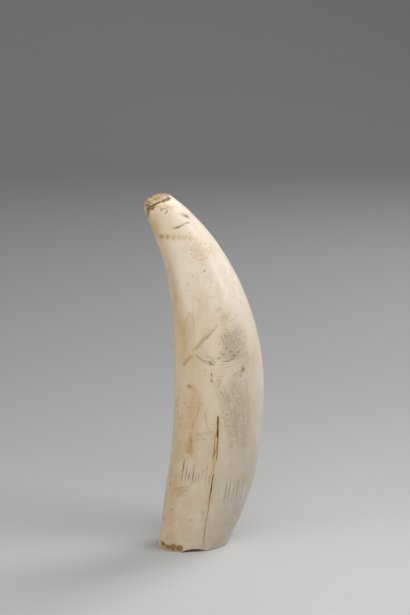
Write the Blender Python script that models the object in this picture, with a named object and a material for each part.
"""A sperm whale tooth with a sawn, hollow root, standing on it.

The tooth is one solid: rings round a curved centre line, from the level root to the worn tip, with a
pulp cavity that opens at the root. X runs through the curve, from the hollow side to the belly, Y runs
the narrow way and Z is up. The front, which carries the engraving, faces the front azimuth below.
The constants are in millimetres and degrees, and the model is in metres.
"""

import math

import bmesh
import bpy
import numpy as np
from mathutils import Vector

MM = 0.001

# Height of the section's centre, its offset towards the belly, half width in the curve, half thickness.
SECTIONS = np.array([
    (0.0, 0.0, 16.75, 12.0),
    (20.0, 5.75, 19.5, 14.5),
    (40.0, 10.5, 21.0, 16.0),
    (60.0, 12.75, 21.25, 16.75),
    (80.0, 12.75, 21.0, 16.5),
    (100.0, 10.25, 19.25, 15.5),
    (118.0, 5.75, 16.5, 13.5),
    (134.0, -0.75, 13.25, 11.0),
    (150.0, -10.5, 9.5, 8.25),
    (162.25, -20.5, 5.25, 6.0),
])
ROOT_BLEND = 30.0  # the sections turn from level, at the saw cut, to square on the curve over this length
TIP_LENGTH = 7.25  # the tip rounds off over this length of the centre line
TIP_FULLNESS = 2.8  # exponent of the rounding: 2 is an ellipse, and more is blunter
SAW_EDGE = 0.4  # worn edge round the saw cut

WEAR_POINT = (-16.5, -0.75, 161.25)  # a point on the facet that use has worn on the tip
WEAR_LEAN = 21.0  # how far the facet leans towards the hollow side
WEAR_FACE = 9.0  # how far it leans towards the front
WEAR_DISH = 0.35  # how deep its middle is

CAVITY_HALF = (10.5, 6.75)  # half width and half thickness of the pulp cavity's mouth
CAVITY_DEPTH = 34.0
CAVITY_TAPER = 0.85  # exponent of the taper: 1 is a straight cone

FRONT_AZIMUTH = 25.0  # the front faces this far from -Y, towards the hollow side

CRACK_TOP = 65.0  # the drying crack climbs the front this far along the centre line
CRACK_FOOT_X, CRACK_HEAD_X = -1.0, 5.0  # where it starts at the root and ends, across the curve
CRACK_BEND = 0.85  # exponent of its slight S: under 1, it swings over nearer the root
CRACK_WIDTH = 0.8
CRACK_DEPTH = 1.1

BREAK_SPAN = (-184.0, -126.0)  # angles round the root between which its outer skin has broken away
BREAK_HEIGHT = 3.4
BREAK_RAGGED = 0.8  # how far the upper edge of the break goes up and down
BREAK_DEPTH = 1.3

NOTCH_WIDTH = 11.5  # shallow arch that lifts the front of the rim off the ground
NOTCH_RISE = 1.4

AROUND = 56
WALL_RINGS = 52
TIP_RINGS = 8
CAVITY_RINGS = 10


def through_sections(column, length):
    """A smooth curve through one column of the sections, read at lengths along the centre line."""
    at = np.concatenate([[0.0], np.cumsum(np.hypot(*np.diff(SECTIONS[:, :2], axis=0).T))])
    step = np.diff(at)
    slope = np.diff(SECTIONS[:, column]) / step
    tangent = np.empty(len(at))
    tangent[1:-1] = (slope[:-1] * step[1:] + slope[1:] * step[:-1]) / (step[1:] + step[:-1])
    tangent[0] = 1.5 * slope[0] - 0.5 * tangent[1]
    tangent[-1] = 1.5 * slope[-1] - 0.5 * tangent[-2]
    i = np.clip(np.searchsorted(at, length, side="right") - 1, 0, len(step) - 1)
    u = (length - at[i]) / step[i]
    value = SECTIONS[:, column]
    return (
        (1 + 2 * u) * (1 - u) ** 2 * value[i]
        + u * (1 - u) ** 2 * step[i] * tangent[i]
        + u * u * (3 - 2 * u) * value[i + 1]
        + u * u * (u - 1) * step[i] * tangent[i + 1]
    )


LENGTH = float(np.hypot(*np.diff(SECTIONS[:, :2], axis=0).T).sum())


def smooth_step(u):
    u = np.clip(u, 0.0, 1.0)
    return u * u * (3 - 2 * u)


def lean(length):
    """How far a section is turned in the curve's plane: level at the root, square to the curve above."""
    near = 0.05
    inside = np.clip(length, near, LENGTH - near)
    rise = through_sections(0, inside + near) - through_sections(0, inside - near)
    run = through_sections(1, inside + near) - through_sections(1, inside - near)
    return np.arctan2(-run, rise) * smooth_step(length / ROOT_BLEND)


def section_point(length, angle, half_width, half_thickness, stand_off=0.0):
    """Points on an ellipse round the centre line, and stand_off outside it. Below the root they go straight down."""
    inside = np.clip(length, 0.0, LENGTH)
    turn = lean(inside)
    normal = np.stack([half_thickness * np.cos(angle), half_width * np.sin(angle)])
    normal = stand_off * normal / np.maximum(np.hypot(*normal), 1e-9)
    wide = half_width * np.cos(angle) + normal[0]
    thick = half_thickness * np.sin(angle) + normal[1]
    x = through_sections(1, inside) + wide * np.cos(turn)
    z = through_sections(0, inside) + wide * np.sin(turn) + np.minimum(length, 0.0)
    return np.stack([x, thick, z], axis=-1)


def wall_point(length, angle, stand_off=0.0):
    """Points on the tooth's outer wall, with its rounded tip."""
    inside = np.clip(length, 0.0, LENGTH)
    into_tip = np.clip((inside - (LENGTH - TIP_LENGTH)) / TIP_LENGTH, 0.0, 1.0)
    narrow = (1 - into_tip**TIP_FULLNESS) ** (1 / TIP_FULLNESS)
    return section_point(
        length, angle, through_sections(2, inside) * narrow, through_sections(3, inside) * narrow, stand_off
    )


def cavity_point(depth, angle):
    narrow = (1 - depth / CAVITY_DEPTH) ** CAVITY_TAPER
    return section_point(depth, angle, CAVITY_HALF[0] * narrow, CAVITY_HALF[1] * narrow)


def tooth_mesh():
    """Rings from the tip down the outer wall, across the saw cut and up the cavity, closed at both ends."""
    angle = np.arange(AROUND) * 2 * math.pi / AROUND
    tip = LENGTH - TIP_LENGTH + TIP_LENGTH * np.sin(np.linspace(0, math.pi / 2, TIP_RINGS + 1))
    wall = np.linspace(SAW_EDGE, LENGTH - TIP_LENGTH, WALL_RINGS, endpoint=False)
    rings = [wall_point(np.full(AROUND, at), angle) for at in tip[-2::-1]]
    rings += [wall_point(np.full(AROUND, at), angle) for at in wall[::-1]]
    rings.append(wall_point(np.zeros(AROUND), angle, -SAW_EDGE))
    depths = CAVITY_DEPTH * (1 - (1 - np.arange(CAVITY_RINGS) / CAVITY_RINGS) ** 1.3)
    rings += [cavity_point(np.full(AROUND, depth), angle) for depth in depths]

    tooth = bmesh.new()
    loops = [[tooth.verts.new(point * MM) for point in ring] for ring in rings]
    for outer, inner in zip(loops, loops[1:]):
        for i in range(AROUND):
            j = (i + 1) % AROUND
            tooth.faces.new((outer[i], inner[i], inner[j], outer[j]))
    ends = (wall_point(np.array(LENGTH), np.array(0.0)), cavity_point(np.array(CAVITY_DEPTH), np.array(0.0)))
    for loop, end in zip((loops[0], loops[-1]), ends):
        middle = tooth.verts.new(end * MM)
        for i in range(AROUND):
            tooth.faces.new((middle, loop[i], loop[(i + 1) % AROUND]))
    bmesh.ops.recalc_face_normals(tooth, faces=tooth.faces)
    wear_tip(tooth)
    return tooth


def wear_tip(tooth):
    """Cuts the worn facet across the tip and dishes it a little."""
    across, down = math.radians(WEAR_LEAN), math.radians(WEAR_FACE)
    normal = Vector((-math.sin(across) * math.cos(down), -math.sin(down), math.cos(across) * math.cos(down)))
    everything = tooth.verts[:] + tooth.edges[:] + tooth.faces[:]
    cut = bmesh.ops.bisect_plane(
        tooth, geom=everything, plane_co=Vector(WEAR_POINT) * MM, plane_no=normal, clear_outer=True, dist=1e-6
    )
    rim = [edge for edge in cut["geom_cut"] if isinstance(edge, bmesh.types.BMEdge)]
    facet = bmesh.ops.edgeloop_fill(tooth, edges=rim)["faces"]
    bmesh.ops.recalc_face_normals(tooth, faces=tooth.faces)
    bmesh.ops.inset_region(tooth, faces=facet, thickness=1.2 * MM, depth=-0.6 * WEAR_DISH * MM)
    bmesh.ops.poke(tooth, faces=facet, offset=-0.4 * WEAR_DISH * MM)


def finish(name, mesh_data, material=None):
    mesh = bpy.data.meshes.new(name)
    mesh_data.to_mesh(mesh)
    mesh_data.free()
    obj = bpy.data.objects.new(name, mesh)
    bpy.context.collection.objects.link(obj)
    if material:
        mesh.materials.append(material)
    return obj


def wall_cutter(name, length, angle, outer, inner):
    """A closed block that follows the outer wall. length and angle are grids of places on the wall, and
    outer and inner say how far the block's two faces stand off it."""
    block = bmesh.new()
    rows, columns = length.shape
    faces = []
    for stand_off in (outer, inner):
        points = wall_point(length, angle, stand_off) * MM
        faces.append([[block.verts.new(point) for point in row] for row in points])
    for grid in faces:
        for i in range(rows - 1):
            for j in range(columns - 1):
                block.faces.new((grid[i][j], grid[i + 1][j], grid[i + 1][j + 1], grid[i][j + 1]))
    border = [(0, j) for j in range(columns)] + [(i, columns - 1) for i in range(1, rows)]
    border += [(rows - 1, j) for j in range(columns - 2, -1, -1)] + [(i, 0) for i in range(rows - 2, 0, -1)]
    for (i, j), (k, m) in zip(border, border[1:] + border[:1]):
        block.faces.new((faces[0][i][j], faces[0][k][m], faces[1][k][m], faces[1][i][j]))
    bmesh.ops.recalc_face_normals(block, faces=block.faces)
    return finish(name, block)


def drying_crack():
    """A V-shaped groove that climbs the front from the root, widest in its upper half."""
    along = np.linspace(-1.0, CRACK_TOP, 24)
    share = np.clip(along / CRACK_TOP, 0.0, 1.0)
    x = CRACK_FOOT_X + (CRACK_HEAD_X - CRACK_FOOT_X) * smooth_step(share**CRACK_BEND)
    inside = np.clip(along, 0.0, LENGTH)
    reach = through_sections(2, inside) * np.cos(lean(inside))
    middle = -np.arccos((x - through_sections(1, inside)) / reach)
    width = CRACK_WIDTH * (0.45 + 0.55 * np.sin(math.pi * share**1.5)) * np.minimum(1.0, 6 * (1.02 - share))
    half = 0.5 * width / through_sections(2, inside)
    angle = middle[:, None] + half[:, None] * np.array([-1.6, 0.0, 1.6])
    inner = np.stack([0.6 * CRACK_DEPTH + 0 * half, -CRACK_DEPTH + 0 * half, 0.6 * CRACK_DEPTH + 0 * half], axis=1)
    return wall_cutter("crack_cutter", along[:, None] + 0 * angle, angle, 1.0, inner)


def root_break():
    """The patch at the root's front left corner where the outer skin is gone, with a ragged upper edge."""
    angle, length = np.meshgrid(np.radians(np.linspace(*BREAK_SPAN, 25)), np.linspace(-1.0, 6.0, 15))
    share = (np.degrees(angle) - BREAK_SPAN[0]) / (BREAK_SPAN[1] - BREAK_SPAN[0])
    top = BREAK_HEIGHT + BREAK_RAGGED * (0.6 * np.sin(11 * share) + 0.4 * np.sin(29 * share + 1))
    inside = np.minimum(top - length, 9.0 * np.minimum(share, 1 - share))
    floor = BREAK_DEPTH * (0.8 + 0.2 * np.sin(5.1 * length + 17 * share) * np.sin(31 * share))
    return wall_cutter("break_cutter", length, angle, 1.2, 0.35 - (0.35 + floor) * smooth_step(inside / 1.2 + 0.4))


def rim_notch():
    """A drum whose top arches through the front of the rim."""
    radius = ((NOTCH_WIDTH / 2) ** 2 + NOTCH_RISE**2) / (2 * NOTCH_RISE)
    inner, outer = 5.0, 17.0
    facing = math.radians(FRONT_AZIMUTH)
    drum = bmesh.new()
    bmesh.ops.create_cone(
        drum, cap_ends=True, segments=72, radius1=radius * MM, radius2=radius * MM, depth=(outer - inner) * MM
    )
    obj = finish("notch_cutter", drum)
    out = Vector((-math.sin(facing), -math.cos(facing), 0.0))
    obj.location = (out * (inner + outer) / 2 + Vector((0, 0, NOTCH_RISE - radius))) * MM
    obj.rotation_euler = out.to_track_quat("Z", "Y").to_euler()
    return obj


def cut_away(obj, cutters):
    """Takes the cutters' shapes out of obj for good, and removes them."""
    for cutter in cutters:
        cut = obj.modifiers.new(cutter.name, "BOOLEAN")
        cut.operation = "DIFFERENCE"
        cut.solver = "EXACT"
        cut.object = cutter
    carved = bpy.data.meshes.new_from_object(obj.evaluated_get(bpy.context.evaluated_depsgraph_get()))
    obj.modifiers.clear()
    obj.data = carved
    for cutter in cutters:
        bpy.data.objects.remove(cutter)


def ivory():
    material = bpy.data.materials.new("ivory")
    material.use_nodes = True
    shader = material.node_tree.nodes["Principled BSDF"]
    shader.inputs["Base Color"].default_value = (0.72, 0.62, 0.47, 1.0)
    shader.inputs["Metallic"].default_value = 0.0
    shader.inputs["Roughness"].default_value = 0.38
    return material


def main():
    for old in list(bpy.data.objects):
        bpy.data.objects.remove(old)

    tooth = finish("scrimshaw_tooth", tooth_mesh(), ivory())
    cut_away(tooth, [drying_crack(), root_break(), rim_notch()])
    tooth.data.shade_smooth()
    tooth.data.set_sharp_from_angle(angle=math.radians(35))

    # The origin of the whole is under the middle of the tooth's box.
    xs = [vertex.co.x for vertex in tooth.data.vertices]
    tooth.location.x = -(min(xs) + max(xs)) / 2


main()
